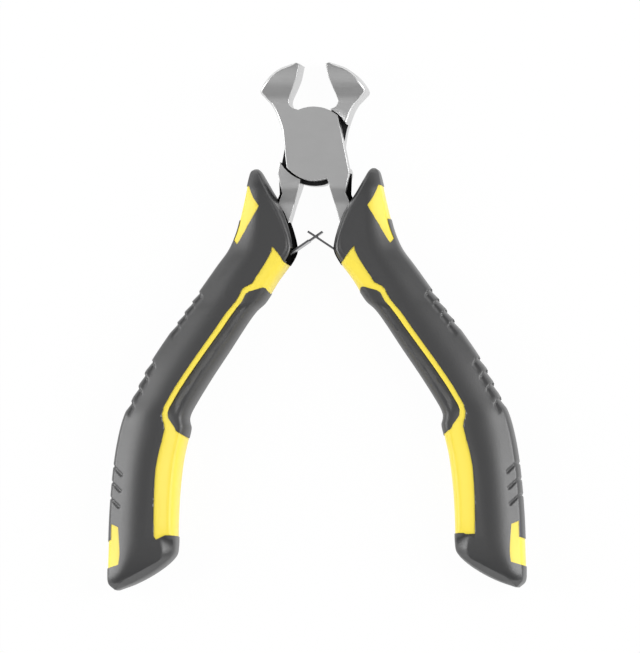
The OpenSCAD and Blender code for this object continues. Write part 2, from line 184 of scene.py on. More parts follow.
# A touch lighter than the cover, with a shallower grain and less of a sheen.
pad_rubber = moulded("smooth_dark_grey_rubber", "#2a2a2b", "#303031", 0.44, 0.012, 0.8)
# A clean warm yellow with a soft sheen.
yellow_plastic = moulded("semi_gloss_yellow_plastic", "#efd843", "#f2dd4d", 0.4, 0.008, 0.6)
# Painted shade: plain black without a sheen, on the shadowed pocket at the nose and the fin beside the tang.
painted_shade_black = moulded("black_nylon_liner", "#0b0b0b", "#101010", 0.6, 0.008, 0)
print("moulded finishes:", grey_rubber.name, pad_rubber.name, yellow_plastic.name, painted_shade_black.name)

# %% [markdown]
# ## Table, light and camera
# The tool lies on white paper. The camera and the mirroring steel see it as almost plain white, and the small
# share of real paper in it keeps a faint shadow under the tool. All other rays find ordinary paper, so that
# it doesn't shine on the tool like a lamp. The Light Path node tells the rays apart.

# %% Table
TABLE_HALF = 1.5
TABLE_WHITE_SHARE = 0.97


def pale_table():
    mesh = bpy.data.meshes.new("pale_table")
    bm = bmesh.new()
    bmesh.ops.create_grid(bm, x_segments=1, y_segments=1, size=TABLE_HALF)
    bm.to_mesh(mesh)
    bm.free()
    table = bpy.data.objects.new("pale_table", mesh)
    bpy.context.scene.collection.objects.link(table)
    finish, tree = new_finish("white_table")
    rays = add(tree, "ShaderNodeLightPath")
    seen = add(tree, "ShaderNodeMath", None, {0: (rays, "Is Camera Ray"), 1: (rays, "Is Glossy Ray")},
               operation="MAXIMUM")
    seen = add(tree, "ShaderNodeMath", None, {0: (seen, 0), 1: (rays, "Is Transmission Ray")},
               operation="MAXIMUM")
    share = add(tree, "ShaderNodeMath", {1: TABLE_WHITE_SHARE}, {0: (seen, 0)}, operation="MULTIPLY")
    paper = add(tree, "ShaderNodeBsdfDiffuse", {"Color": linear("#f4f4f4")})
    white = add(tree, "ShaderNodeEmission", {"Color": linear("#ffffff"), "Strength": 1})
    mixed = add(tree, "ShaderNodeMixShader", None, {0: (share, 0), 1: (paper, 0), 2: (white, 0)})
    add(tree, "ShaderNodeOutputMaterial", None, {"Surface": (mixed, 0)})
    mesh.materials.append(finish)
    return table


table = pale_table()
print("table:", table.name)

# %% [markdown]
# A studio tent surrounds the tool. It is bright low down, all round, where it edges the rims with light, and
# dim overhead, where the flat steel mirrors it and takes its middle grey. A colour ramp from the horizon up
# draws it. The camera sees plain white in its place. Two soft boxes at the sides rake over the rounded grips.

# %% Sky and soft boxes
SKY_LIGHT = 1.8
SKY_SHARES = [
    (0, 0.9), (0.08, 1), (0.2, 0.9), (0.34, 0.75), (0.52, 0.2), (0.7, 0.11), (0.86, 0.156), (1, 0.25),
]
WHITE_SHARE = 1 / SKY_LIGHT
BOX_AWAY = 0.7
BOX_WIDE = 0.28
BOX_LONG = 0.6
LEFT_LIGHT = 4.9
LEFT_DIRECTION = (-1, 0.1, 0.72)
RIGHT_LIGHT = 5.8
RIGHT_DIRECTION = (1, 0.1, 0.85)


def sky():
    world = bpy.data.worlds.new("studio")
    world.use_nodes = True
    tree = world.node_tree
    tree.nodes.clear()
    place = add(tree, "ShaderNodeTexCoord")
    parts = add(tree, "ShaderNodeSeparateXYZ", None, {0: (place, "Generated")})
    tent = add(tree, "ShaderNodeValToRGB", None, {"Fac": (parts, "Z")})
    tent.color_ramp.interpolation = "EASE"
    while len(tent.color_ramp.elements) < len(SKY_SHARES):
        tent.color_ramp.elements.new(1)
    for stop, (height, share) in zip(tent.color_ramp.elements, SKY_SHARES):
        stop.position = height
        stop.color = (share, share, share, 1)
    rays = add(tree, "ShaderNodeLightPath")
    colour = add(tree, "ShaderNodeMix", {7: (WHITE_SHARE, WHITE_SHARE, WHITE_SHARE, 1)},
                 {0: (rays, "Is Camera Ray"), 6: (tent, "Color")}, data_type="RGBA")
    light = add(tree, "ShaderNodeBackground", {"Strength": SKY_LIGHT}, {"Color": (colour, 2)})
    add(tree, "ShaderNodeOutputWorld", None, {"Surface": (light, 0)})
    bpy.context.scene.world = world


def soft_box(name, direction, light):
    """An area lamp that looks at the middle of the tool, as many times as bright as a white sheet."""
    lamp = bpy.data.lights.new(name, "AREA")
    lamp.shape = "RECTANGLE"
    lamp.size = BOX_WIDE
    lamp.size_y = BOX_LONG
    lamp.energy = math.pi * BOX_WIDE * BOX_LONG * light
    box = bpy.data.objects.new(name, lamp)
    towards = Vector(direction).normalized()
    box.location = BOX_AWAY * towards
    box.rotation_euler = towards.to_track_quat("Z", "Y").to_euler()
    bpy.context.scene.collection.objects.link(box)
    return box


sky()
boxes = [
    soft_box("left_soft_box", LEFT_DIRECTION, LEFT_LIGHT),
    soft_box("right_soft_box", RIGHT_DIRECTION, RIGHT_LIGHT),
]
bpy.context.scene.view_settings.view_transform = "Standard"
print("soft boxes:", [box.name for box in boxes])

# %% [markdown]
# The photograph looks almost straight down on the front face, from a little to the right and towards the
# heels, with a long lens. A camera that stands far off gives that look. A millimetre of the tool takes about
# five of the photograph's pixels, and that scale sets the lens.

# %% Camera
PHOTO_TALL = 653
PIXELS_PER_MM = 5
AIM = Vector((0.8 * MM, -0.12 * MM, pivot.z))
SENSOR_WIDTH = 36
CAMERA_AWAY = 3
CAMERA_TO_RIGHT = math.radians(6.3)
CAMERA_TO_HEELS = math.radians(3.2)
CAMERA_ROLL = math.radians(-0.2)


def photo_camera():
    lens = bpy.data.cameras.new("photo_camera")
    lens.sensor_width = SENSOR_WIDTH
    seen_tall = PHOTO_TALL / PIXELS_PER_MM * MM
    lens.lens = SENSOR_WIDTH * CAMERA_AWAY / seen_tall
    camera = bpy.data.objects.new("photo_camera", lens)
    turn = Matrix.Rotation(CAMERA_TO_RIGHT, 4, "Y") @ Matrix.Rotation(CAMERA_TO_HEELS, 4, "X")
    turn = turn @ Matrix.Rotation(CAMERA_ROLL, 4, "Z")
    camera.matrix_world = Matrix.Translation(AIM) @ turn @ Matrix.Translation((0, 0, CAMERA_AWAY))
    bpy.context.scene.collection.objects.link(camera)
    bpy.context.scene.camera = camera
    return camera


camera = photo_camera()
print("camera lens", round(camera.data.lens, 1), "mm")

# %% [markdown]
# ## The grips
# A grip's form is easiest to say as two edges and a rounded section between them. The edges are shares
# of the grip's length and of the tool's half spread, the same ones that the solid model uses, and a smooth
# curve runs through them. A place on the grip is then two shares: down from the thumb guard's tip, and
# across from the outer edge to the inner one.

# %% A grip's edges
grip_low, grip_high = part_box("right_grip_cover")
GRIP_LENGTH = grip_high.y - grip_low.y
HALF_SPREAD = grip_high.x
OUTER_SHARES = [
    (0, 0.29), (0.006, 0.305), (0.025, 0.317), (0.06, 0.332), (0.118, 0.36), (0.156, 0.382), (0.194, 0.417),
    (0.23, 0.47), (0.3, 0.57), (0.38, 0.684), (0.465, 0.798), (0.54, 0.873), (0.587, 0.92), (0.645, 0.951),
    (0.715, 0.973), (0.81, 0.99), (0.905, 0.998), (0.965, 1), (0.987, 0.993), (1, 0.965),
]
INNER_SHARES = [
    (0, 0.271), (0.006, 0.258), (0.025, 0.235), (0.058, 0.197), (0.1, 0.144), (0.132, 0.117), (0.163, 0.098),
    (0.18, 0.091), (0.194, 0.089), (0.208, 0.098), (0.23, 0.124), (0.265, 0.175), (0.302, 0.221),
    (0.32, 0.247), (0.335, 0.281), (0.36, 0.32), (0.43, 0.412), (0.5, 0.506), (0.568, 0.59), (0.588, 0.607),
    (0.6, 0.607), (0.614, 0.601), (0.64, 0.612), (0.69, 0.634), (0.765, 0.652), (0.835, 0.66), (0.9, 0.664),
    (0.92, 0.675), (0.944, 0.722), (0.968, 0.794), (0.987, 0.871), (1, 0.945),
]


def slope_at(rows, i):
    before = rows[max(i - 1, 0)]
    after = rows[min(i + 1, len(rows) - 1)]
    return (after[1] - before[1]) / (after[0] - before[0])


def value_at(rows, place):
    """The value at a place on the smooth curve through a table's rows."""
    i = 0
    while i < len(rows) - 2 and place >= rows[i + 1][0]:
        i += 1
    step = rows[i + 1][0] - rows[i][0]
    t = (place - rows[i][0]) / step
    eased = t * t * (3 - 2 * t)
    bend = step * t * (1 - t) * ((1 - t) * slope_at(rows, i) - t * slope_at(rows, i + 1))
    return rows[i][1] * (1 - eased) + rows[i + 1][1] * eased + bend


def ramp(value, start, end):
    """Rises smoothly from 0 at start to 1 at end."""
    t = min(max((value - start) / (end - start), 0), 1)
    return t * t * (3 - 2 * t)


def grip_point(down, across, height=0):
    """The place at those two shares, at a height above the grip's middle."""
    outer = value_at(OUTER_SHARES, down)
    inner = value_at(INNER_SHARES, down)
    x = HALF_SPREAD * (outer + across * (inner - outer))
    return Vector((x, grip_high.y - down * GRIP_LENGTH, pivot.z + height))


print("grip length", round(GRIP_LENGTH / MM, 1), "mm, half spread", round(HALF_SPREAD / MM, 1), "mm")

# %% [markdown]
# Across the grip the face rises from the outer edge over a broad facet to a soft ridge, and then falls
# gently inwards to a valley along the yellow frame's edge. There a short wall climbs to the frame's own
# ridge, which rounds off to the inner edge. At the heel the valley swings round, and the rim beyond it falls
# away as a broad chamfer. The lines that the ridge and the valley follow are tables of shares, like the
# edges.

# %% The grip's face
THICK_SHARES = [
    (0, 0.2), (0.004, 0.42), (0.012, 0.58), (0.05, 0.82), (0.15, 0.94), (0.3, 1), (0.86, 1), (0.95, 0.95),
    (0.985, 0.82), (1, 0.5),
]
RIDGE_SHARES = [
    (0, 0.4), (0.08, 0.3), (0.2, 0.28), (0.3, 0.33), (0.55, 0.4), (0.85, 0.38), (0.95, 0.27), (1, 0.4),
]
FACET_FOOT_SHARES = [(0, 0.8), (0.1, 0.66), (0.3, 0.64), (0.6, 0.64), (0.85, 0.62), (0.95, 0.66), (1, 0.8)]
VALLEY_SHARES = [
    (0, 0.62), (0.1, 0.78), (0.16, 0.86), (0.2, 0.84), (0.24, 0.74), (0.275, 0.695), (0.292, 0.615),
    (0.33, 0.645), (0.38, 0.646), (0.427, 0.632), (0.48, 0.615), (0.523, 0.591), (0.568, 0.592),
    (0.608, 0.652), (0.65, 0.667), (0.715, 0.648), (0.81, 0.67), (0.872, 0.7), (0.885, 0.77), (0.92, 0.83),
    (0.935, 0.83), (0.95, 0.74), (0.97, 0.6), (0.99, 0.46), (1, 0.42),
]
VALLEY_DEPTH_SHARES = [
    (0, 0), (0.06, 0.02), (0.12, 0.06), (0.2, 0.09), (0.26, 0.08), (0.3, 0.05), (0.36, 0.04), (0.54, 0.04),
    (0.6, 0.08), (0.68, 0.1), (0.85, 0.11), (0.93, 0.12), (0.965, 0.1), (0.99, 0.05), (1, 0),
]
FRAME_RISE_SHARES = [
    (0, 0), (0.12, 0.02), (0.2, 0.03), (0.28, 0.06), (0.32, 0.04), (0.56, 0.04), (0.62, 0.08), (0.85, 0.08),
    (0.9, 0), (1, 0),
]
WALL_SHARES = [(0, 0.08), (0.2, 0.06), (0.27, 0.14), (0.6, 0.2), (0.64, 0.26), (0.86, 0.26), (1, 0.2)]
HEEL_FALL_SHARES = [(0, 0), (0.84, 0), (0.87, 0), (0.885, 0.16), (0.91, 0.24), (0.97, 0.3), (1, 0.3)]
INNER_ROUND_SHARES = [
    (0, 0.4), (0.1, 0.2), (0.2, 0.1), (0.27, 0.14), (0.4, 0.2), (0.6, 0.14), (0.865, 0.12), (0.885, 0.05),
    (0.925, 0.05), (0.96, 0.12), (1, 0.2),
]
OUTER_ROUND_SHARE = 0.06
EDGE_POWER = 2.4
RIDGE_SOFTNESS = 0.28


def rounding(share):
    """Rises from 0 steeply, like the round of an edge, to 1 at a share of 1."""
    return (1 - (1 - min(share, 1)) ** EDGE_POWER) ** (1 / EDGE_POWER)


def softer_min(a, b):
    """The lower of two heights, with the corner between them rounded."""
    near = max(RIDGE_SOFTNESS - abs(a - b), 0) / RIDGE_SOFTNESS
    return min(a, b) - near * near * RIDGE_SOFTNESS / 4


def face_height(down, across):
    """The height of the face over the grip's middle, as a share of half its thickness."""
    ridge = value_at(RIDGE_SHARES, down)
    foot = value_at(FACET_FOOT_SHARES, down)
    bottom = value_at(VALLEY_SHARES, down)
    depth = max(value_at(VALLEY_DEPTH_SHARES, down), 0)
    facet = foot + (1 - foot) * across / ridge
    fall = 1 - depth * (across - ridge) / (bottom - ridge)
    height = softer_min(facet, fall) if across < bottom else 1 - depth
    if across > bottom:
        wall_top = bottom + value_at(WALL_SHARES, down)
        height += value_at(FRAME_RISE_SHARES, down) * ramp(across, bottom, wall_top)
        height -= max(value_at(HEEL_FALL_SHARES, down), 0) * (across - bottom) / (1 - bottom)
    height *= rounding(across / OUTER_ROUND_SHARE)
    return height * rounding((1 - across) / value_at(INNER_ROUND_SHARES, down))


for across in (0.1, 0.3, 0.5, 0.65, 0.8, 0.95):
    print("lower grip at", across, "has height share", round(face_height(0.75, across), 2))

# %% [markdown]
# A tube of many small faces takes this shape best. It starts as a plain cylinder with its upright edges cut
# into rings, and each of its points is then moved to the place that its ring and its turn give.

# %% The grip's skin
SIDES = 128
RINGS = 400
END_CROWDING = 0.4


def skin_point(down, turn, drop, relief):
    """A place on the skin, at a turn round the grip's section, sunk by the drop and by the relief."""
    across = (1 - math.cos(turn)) / 2
    from_middle = 2 * across - 1
    sunk = drop + relief(down, across)
    height = pivot.z * value_at(THICK_SHARES, down) * face_height(down, across)
    height -= sunk * (1 - from_middle ** 4)
    point = grip_point(down, across, math.copysign(height, math.sin(turn)))
    point.x += sunk * from_middle
    return point


def ring_share(i):
    even = i / RINGS
    crowded = (1 - math.cos(math.pi * even)) / 2
    return even + END_CROWDING * (crowded - even)


def no_relief(down, across):
    return 0


def grip_skin(drop, relief=no_relief):
    bm = bmesh.new()
    bmesh.ops.create_cone(bm, cap_ends=True, segments=SIDES, radius1=1, radius2=1, depth=1)
    upright = [edge for edge in bm.edges if abs(edge.verts[0].co.z - edge.verts[1].co.z) > 0.5]
    bmesh.ops.subdivide_edges(bm, edges=upright, cuts=RINGS - 1, use_grid_fill=True)
    for vert in bm.verts:
        down = ring_share(round((0.5 - vert.co.z) * RINGS))
        turn = math.atan2(vert.co.y, vert.co.x)
        vert.co = skin_point(down, turn, drop, relief)
    bmesh.ops.recalc_face_normals(bm, faces=bm.faces)
    return bm


def piece_from(bm, name):
    mesh = bpy.data.meshes.new(name)
    bm.to_mesh(mesh)
    bm.free()
    piece = bpy.data.objects.new(name, mesh)
    bpy.context.scene.collection.objects.link(piece)
    return piece


test_skin = grip_skin(0)
print("grip skin faces", len(test_skin.faces))
test_skin.free()

# %% [markdown]
# The three shots meet along outlines on the face. An outline goes right through the grip as a prism, so the
# back is taken to look like the front. The prisms cut the skins apart with Boolean modifiers, and each shot
# keeps its own skin: the yellow one lies a little lower than the rubber.

# %% Outlines and prisms
FRAME_OUTER_SHARES = [
    (0.187, 0.665), (0.24, 0.685), (0.275, 0.695), (0.283, 0.632), (0.289, 0.612), (0.33, 0.645),
    (0.38, 0.646), (0.427, 0.632), (0.48, 0.615), (0.523, 0.591), (0.568, 0.59), (0.585, 0.612),
    (0.608, 0.652), (0.62, 0.668), (0.65, 0.667), (0.715, 0.648), (0.81, 0.67), (0.885, 0.685),
    (0.873, 0.845), (0.874, 1.15),
]
FRAME_PAD_SHARES = [
    (0.64, 1.15), (0.639, 1), (0.625, 0.845), (0.594, 0.725), (0.58, 0.69), (0.568, 0.68), (0.526, 0.682),
    (0.48, 0.704), (0.429, 0.72), (0.38, 0.739), (0.345, 0.74), (0.321, 0.728), (0.3, 0.703), (0.294, 0.735),
    (0.285, 0.89), (0.287, 0.93), (0.298, 1), (0.3, 1.15),
]
FRAME_NOSE_SHARES = [(0.23, 1.15), (0.23, 1), (0.223, 0.92)]
UPPER_WINDOW_SHARES = [
    (0.042, -0.2), (0.042, 0.14), (0.09, 0.453), (0.112, 0.32), (0.135, 0.222), (0.158, 0.16),
    (0.181, 0.115), (0.17, 0.03), (0.123, 0.04), (0.118, -0.2),
]
LOWER_WINDOW_SHARES = [
    (0.844, 0.055), (0.852, 0.164), (0.942, 0.218), (0.958, -0.2), (0.894, -0.2), (0.882, 0.06),
]
SLEEVE_SHARES = [(0.13, 0.18), (0.9, 0.18), (0.9, 0.9), (0.13, 0.9)]
STEP_SHARE = 0.012
SLEEVE_HALF = 3.7 * MM
THROUGH = 9 * MM


def outline(shares):
    """Points along an outline of shares, close enough to follow the grip's curves."""
    points = []
    for here, after in zip(shares, shares[1:] + shares[:1]):
        steps = max(1, round(abs(after[0] - here[0]) / STEP_SHARE))
        for k in range(steps):
            t = k / steps
            down, across = [a + t * (b - a) for a, b in zip(here, after)]
            points.append(grip_point(down, across))
    return points


def prism(outlines, low, high, name):
    """A block of each outline, from a height below or above the pivot to another."""
    bm = bmesh.new()
    bases = []
    for points in outlines:
        corners = [bm.verts.new((p.x, p.y, pivot.z + low)) for p in points]
        bases.append(bm.faces.new(corners))
    grown = bmesh.ops.extrude_face_region(bm, geom=bases, use_keep_orig=True)
    raised = [item for item in grown["geom"] if isinstance(item, bmesh.types.BMVert)]
    bmesh.ops.translate(bm, verts=raised, vec=(0, 0, high - low))
    bmesh.ops.recalc_face_normals(bm, faces=bm.faces)
    return piece_from(bm, name)


def settle(piece):
    """Keeps what the piece's modifiers make as its mesh."""
    settled = piece.evaluated_get(bpy.context.evaluated_depsgraph_get())
    mesh = bpy.data.meshes.new_from_object(settled)
    piece.modifiers.clear()
    piece.data = mesh


def combine(piece, operation, *tools):
    """Cuts the piece with each tool, or joins them, and keeps the result as its mesh."""
    for tool in tools:
        step = piece.modifiers.new(tool.name, "BOOLEAN")
        step.solver = "MANIFOLD"
        step.operation = operation
        step.object = tool
        step.material_mode = "TRANSFER" if tool.data.materials else "INDEX"
    settle(piece)


windows = [outline(UPPER_WINDOW_SHARES), outline(LOWER_WINDOW_SHARES)]
whole_frame = outline(FRAME_OUTER_SHARES + FRAME_PAD_SHARES + FRAME_NOSE_SHARES)
yellow_prism = prism([whole_frame, *windows], -THROUGH, THROUGH, "yellow_prism")
inlay = outline(FRAME_OUTER_SHARES + FRAME_NOSE_SHARES)
inlay_prism = prism([inlay, *windows], -THROUGH, THROUGH, "inlay_prism")
pad_prism = prism([outline(FRAME_PAD_SHARES)], -THROUGH, THROUGH, "pad_prism")
sleeve_prism = prism([outline(SLEEVE_SHARES)], -SLEEVE_HALF, SLEEVE_HALF, "sleeve_prism")
print("prism faces:", [len(p.data.polygons) for p in (yellow_prism, inlay_prism, pad_prism, sleeve_prism)])

# %% [markdown]
# The rubber has moulded relief of its own. Two groups of shingled ribs step the outer edge for the thumb and
# the palm, and three slanted slots cross it lower down. The finger pad has a channel beside the yellow
# stripe, with a raised plateau next to it. Each is written as a depth at a place on the skin, which keeps the
# mesh even where a cut would break it up.

# %% Relief of the rubber
RIB_SHARES = [0.289, 0.313, 0.338, 0.363, 0.452, 0.484, 0.514, 0.549]
RIB_LENGTH_SHARE = 0.024
RIB_SLANT_SHARE = 0.16
RIB_REACH_SHARE = 0.16
RIB_DEPTH = 0.55 * MM
SLOT_SHARES = [0.704, 0.742, 0.78]
SLOT_END_SHARE = 0.18
SLOT_FADE_SHARE = 0.018
SLOT_SLANT_SHARE = 0.15
SLOT_HALF_SHARE = 0.0045
SLOT_DEPTH = 0.35 * MM
CHANNEL_EDGE_SHARES = [
    (0.3, 0.703), (0.321, 0.728), (0.345, 0.74), (0.38, 0.739), (0.429, 0.72), (0.526, 0.682), (0.568, 0.68),
    (0.6, 0.74),
]
CHANNEL_START_SHARES = (0.322, 0.34)
CHANNEL_END_SHARES = (0.556, 0.592)
CHANNEL_WIDTH_SHARE = 0.11
CHANNEL_WALL_SHARE = 0.035
CHANNEL_DEPTH = 0.6 * MM


def rib_relief(down, across):
    place = down - RIB_SLANT_SHARE * across
    past = [place - rib for rib in RIB_SHARES if 0 <= place - rib < RIB_LENGTH_SHARE]
    if not past or across > RIB_REACH_SHARE:
        return 0
    fading = 1 - ramp(across, RIB_REACH_SHARE / 2, RIB_REACH_SHARE)
    return RIB_DEPTH * (1 - past[-1] / RIB_LENGTH_SHARE) * fading


def slot_relief(down, across):
    aside = min(abs(down - slot - SLOT_SLANT_SHARE * across) for slot in SLOT_SHARES)
    reach = 1 - ramp(across, SLOT_END_SHARE - SLOT_FADE_SHARE, SLOT_END_SHARE)
    return SLOT_DEPTH * reach * (1 - ramp(aside, 0, SLOT_HALF_SHARE))


def cover_relief(down, across):
    return rib_relief(down, across) + slot_relief(down, across)


def pad_relief(down, across):
    first = CHANNEL_EDGE_SHARES[0][0]
    last = CHANNEL_EDGE_SHARES[-1][0]
    wall = value_at(CHANNEL_EDGE_SHARES, min(max(down, first), last)) + CHANNEL_WIDTH_SHARE
    along = ramp(down, *CHANNEL_START_SHARES) * (1 - ramp(down, *CHANNEL_END_SHARES))
    return CHANNEL_DEPTH * along * (1 - ramp(across, wall, wall + CHANNEL_WALL_SHARE))


print("ribs:", len(RIB_SHARES), "slots:", len(SLOT_SHARES), "channel depth", CHANNEL_DEPTH / MM, "mm")

# %% [markdown]
# The tang and the spring leaf lie inside the grip, so room for both is cut out of it. The tang's own solid
# is the best tool for its channel. The leaf's pocket is a prism round the leaf, with room for its blade to
# swing, and a notch lets the leaf in on one side of the nose. A thin fin of the cover climbs the neck of
# the tang. Its top is in millimetres beside and above the pivot.

# %% Room for the tang and the spring
SEAT_ACROSS_SHARE = 0.77
SEAT_DOWN_SHARES = (0.18, 0.296)
BEND_DROP = 5.2 * MM
TAB_LENGTH = 4.6 * MM
BLADE_LENGTH = 12.9 * MM
BLADE_TURN = math.radians(146)
SWING_TURN = math.radians(136)
POCKET_KNEE_SHARE = 0.2
POCKET_DEPTH = 1.3 * MM
POCKET_ROOM = 0.4 * MM
POCKET_HALF = 2.2 * MM
INSIDE_TANG = 1 * MM
NOTCH_SHARES = [(0.186, 1.1), (0.192, 0.94), (0.222, 0.94), (0.228, 1.1)]
FIN_TOP = [(6.35, -10), (7.2, -5.9), (7.05, -10)]
FIN_FOOT_SHARES = [(0.085, 0.85), (0.12, 0.85)]
FIN_HALF = 1.5 * MM
WELD = MM / 10000

seat_top = grip_point(SEAT_DOWN_SHARES[0], SEAT_ACROSS_SHARE)
seat_low = grip_point(SEAT_DOWN_SHARES[1], SEAT_ACROSS_SHARE)
seat_along = (seat_low - seat_top).normalized()
seat_out = Vector((seat_along.y, -seat_along.x, 0))
leaf_bend = seat_top + BEND_DROP * seat_along
tab_end = leaf_bend + TAB_LENGTH * seat_along


def turned(angle, length):
    """A step of that length, turned by that angle from the X axis."""
    return length * Vector((math.cos(angle), math.sin(angle), 0))


blade_tip = leaf_bend + turned(BLADE_TURN, BLADE_LENGTH)


def pocket_outline():
    along = turned(BLADE_TURN, 1)
    under = 2 * POCKET_ROOM * Vector((-along.y, along.x, 0))
    foot = tab_end + POCKET_ROOM * seat_along
    return [
        leaf_bend - POCKET_DEPTH * seat_along - INSIDE_TANG * seat_out,
        foot - INSIDE_TANG * seat_out,
        foot + POCKET_DEPTH * seat_out,
        leaf_bend + POCKET_KNEE_SHARE * BLADE_LENGTH * along + under,
        blade_tip + under,
        leaf_bend + turned(SWING_TURN, BLADE_LENGTH),
    ]


def merged_copy(node):
    """A solid's mesh, in which faces that meet share their points."""
    bm = bmesh.new()
    bm.from_mesh(nodes[node].data)
    bmesh.ops.remove_doubles(bm, verts=bm.verts, dist=WELD)
    bmesh.ops.recalc_face_normals(bm, faces=bm.faces)
    return bm


tang_tool = piece_from(merged_copy("front_lever"), "tang_tool")
pocket_prism = prism([pocket_outline()], -POCKET_HALF, POCKET_HALF, "pocket_prism")
notch_prism = prism([outline(NOTCH_SHARES)], -THROUGH, POCKET_HALF, "notch_prism")
fin_points = [pivot + MM * Vector((x, y, 0)) for x, y in FIN_TOP]
fin_points += [grip_point(*share) for share in FIN_FOOT_SHARES]
fin_prism = prism([fin_points], -FIN_HALF, FIN_HALF, "fin_prism")
print("spring bend at", [round(c / MM, 2) for c in leaf_bend], "mm")

# %% [markdown]
# Each shot is a skin trimmed by the prisms. The cover is what is left of the whole skin round the inlays,
# the pad is the skin inside the pad's outline, and the core is the lower skin inside the yellow outlines,
# joined to the sleeve under the rubber. Plain black stands for shade on the nose's inner side, in the
# spring's pocket and notch and on the fin beside the tang: painted shade. The left grip is the right one
# turned over about the tool's long axis.

# %% The three shots of each grip
CORE_DROP = 0.15 * MM
SHARP_TURN = math.radians(32)
# Beyond these shares the nose's inner side is painted plain black as shade.
NOSE_SHADE_DOWN_SHARES = (0.1, 0.24)
NOSE_SHADE_ACROSS_SHARE = 0.965


def smooth(piece):
    piece.data.shade_smooth()
    piece.data.set_sharp_from_angle(angle=SHARP_TURN)


def stand_for(piece, node, body):
    smooth(piece)
    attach(piece, body)
    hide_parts(node)
    print(piece.name, len(piece.data.polygons), "faces")


def paint_nose_shade(cover):
    """Paints shade on the nose's inner side, where the spring comes out: its faces take plain black."""
    black = cover.data.materials.find(painted_shade_black.name)
    start, end = NOSE_SHADE_DOWN_SHARES
    for face in cover.data.polygons:
        down = (grip_high.y - face.center.y) / GRIP_LENGTH
        if start < down < end and face.center.x < grip_point(down, NOSE_SHADE_ACROSS_SHARE).x:
            face.material_index = black


def turned_over(piece, name):
    bm = bmesh.new()
    bm.from_mesh(piece.data)
    over = Matrix.Translation((0, 0, pivot.z)) @ Matrix.Rotation(math.pi, 4, "Y")
    bmesh.ops.transform(bm, matrix=over @ Matrix.Translation((0, 0, -pivot.z)), verts=bm.verts)
    twin = piece_from(bm, name)
    for finish in piece.data.materials:
        twin.data.materials.append(finish)
    return twin


pad = piece_from(grip_skin(0, pad_relief), "right_rubber_pad")
pad.data.materials.append(pad_rubber)
combine(pad, "INTERSECT", pad_prism)
combine(pad, "DIFFERENCE", sleeve_prism)
core = piece_from(grip_skin(CORE_DROP), "right_yellow_core")
core.data.materials.append(yellow_plastic)
combine(core, "INTERSECT", yellow_prism)
combine(core, "UNION", sleeve_prism)
combine(core, "DIFFERENCE", tang_tool, pocket_prism)
cover = piece_from(grip_skin(0, cover_relief), "right_rubber_cover")
cover.data.materials.append(grey_rubber)
# Painted shade: the fin, the pocket and the notch carry plain black where the tang and the nose shadow them.
for tool in (fin_prism, pocket_prism, notch_prism):
    tool.data.materials.append(painted_shade_black)
combine(cover, "UNION", fin_prism)
combine(cover, "DIFFERENCE", inlay_prism, sleeve_prism, tang_tool, pocket_prism, notch_prism)
paint_nose_shade(cover)
outlines = [yellow_prism, inlay_prism, pad_prism, sleeve_prism, notch_prism]
for tool in outlines + [tang_tool, pocket_prism, fin_prism]:
    bpy.data.objects.remove(tool)

shots = [
    (cover, "grip_cover", "grey_rubber"),
    (pad, "finger_pad", "grey_rubber"),
    (core, "grip_core", "yellow_plastic"),
]
for piece, node, slot in shots:
    other = turned_over(piece, piece.name.replace("right", "left"))
    stand_for(piece, "right_" + node, "front_half")
    stand_for(other, "left_" + node, "rear_half")

# %% [markdown]
# ## The levers
# A forged and ground lever has no truly sharp edge: the belt rounds each one by a tenth of a millimetre or
# more, most along the jaw's crown and flank, and that narrow round is what catches the light. A bevel makes
# it, and it comes out cleanest on a plain slab. So the outline of the solid's flat face is lifted off and
# extruded, and a weight on each edge tells the bevel how far in the belt goes there. Only then is the slab
# sliced across, where the jaws swell and the tang thins, so that each slice can take its thickness. Places
# and rounds that have no MM beside them are in millimetres from the pivot.

# %% A lever's slab
JOINT_HALF = 3.8 * MM
ROUND_SEGMENTS = 6
SHORTEST_EDGE = 0.08 * MM
FACE_HEIGHT = 2 * MM
FACING_SHARE = 0.5
BORE_REACH = 5 * MM
THIN_HALF = 2.6
THINNING_ENDS = (-12.5, -8.3)
THINNING_SLICES = 12
SWELL = [
    (7.6, 3.8), (8.4, 3.8), (9.3, 3.94), (10.3, 4.3), (11.3, 4.68), (12.5, 4.93), (13.7, 5), (15, 4.93),
    (16.2, 4.75),
]
SWELL_SLICES = 32


def half_thickness(y):
    """Half the lever's thickness in millimetres, at a height above the pivot in millimetres."""
    if y > SWELL[0][0]:
        return value_at(SWELL, y)
    return THIN_HALF + (JOINT_HALF / MM - THIN_HALF) * ramp(y, *THINNING_ENDS)


EDGE_ROUND = 0.12
FLANK_ROUND = 0.45
CROWN_ROUND = 0.6
FLANK_ENDS = (0, 4)
CORNER_ENDS = (9.6, 11.4)
TIP_ENDS = (3.3, 5)
OUTER_RIM_FROM = 5.3
CROWN_FROM = 14.3


def rim_round(beside, above):
    """How far in the belt rounds a rim, at a place beside the pivot on the jaw's side and above it."""
    if beside < OUTER_RIM_FROM and (above < CROWN_FROM or beside < TIP_ENDS[0]):
        return EDGE_ROUND
    crown = ramp(above, *CORNER_ENDS)
    wide = FLANK_ROUND + crown * (CROWN_ROUND - FLANK_ROUND)
    return EDGE_ROUND + (wide - EDGE_ROUND) * ramp(above, *FLANK_ENDS) * ramp(beside, *TIP_ENDS)


def outer_edges(bm, side):
    """The edges round a solid's front face, or round its back face where side is -1."""
    faces = set()
    for face in bm.faces:
        height = side * (face.calc_center_median().z - pivot.z)
        if side * face.normal.z > FACING_SHARE and height > FACE_HEIGHT:
            faces.add(face)
    edges = [edge for edge in bm.edges if sum(face in faces for face in edge.link_faces) == 1]
    return [edge for edge in edges if ((edge.verts[0].co - pivot) * Vector((1, 1, 0))).length > BORE_REACH]


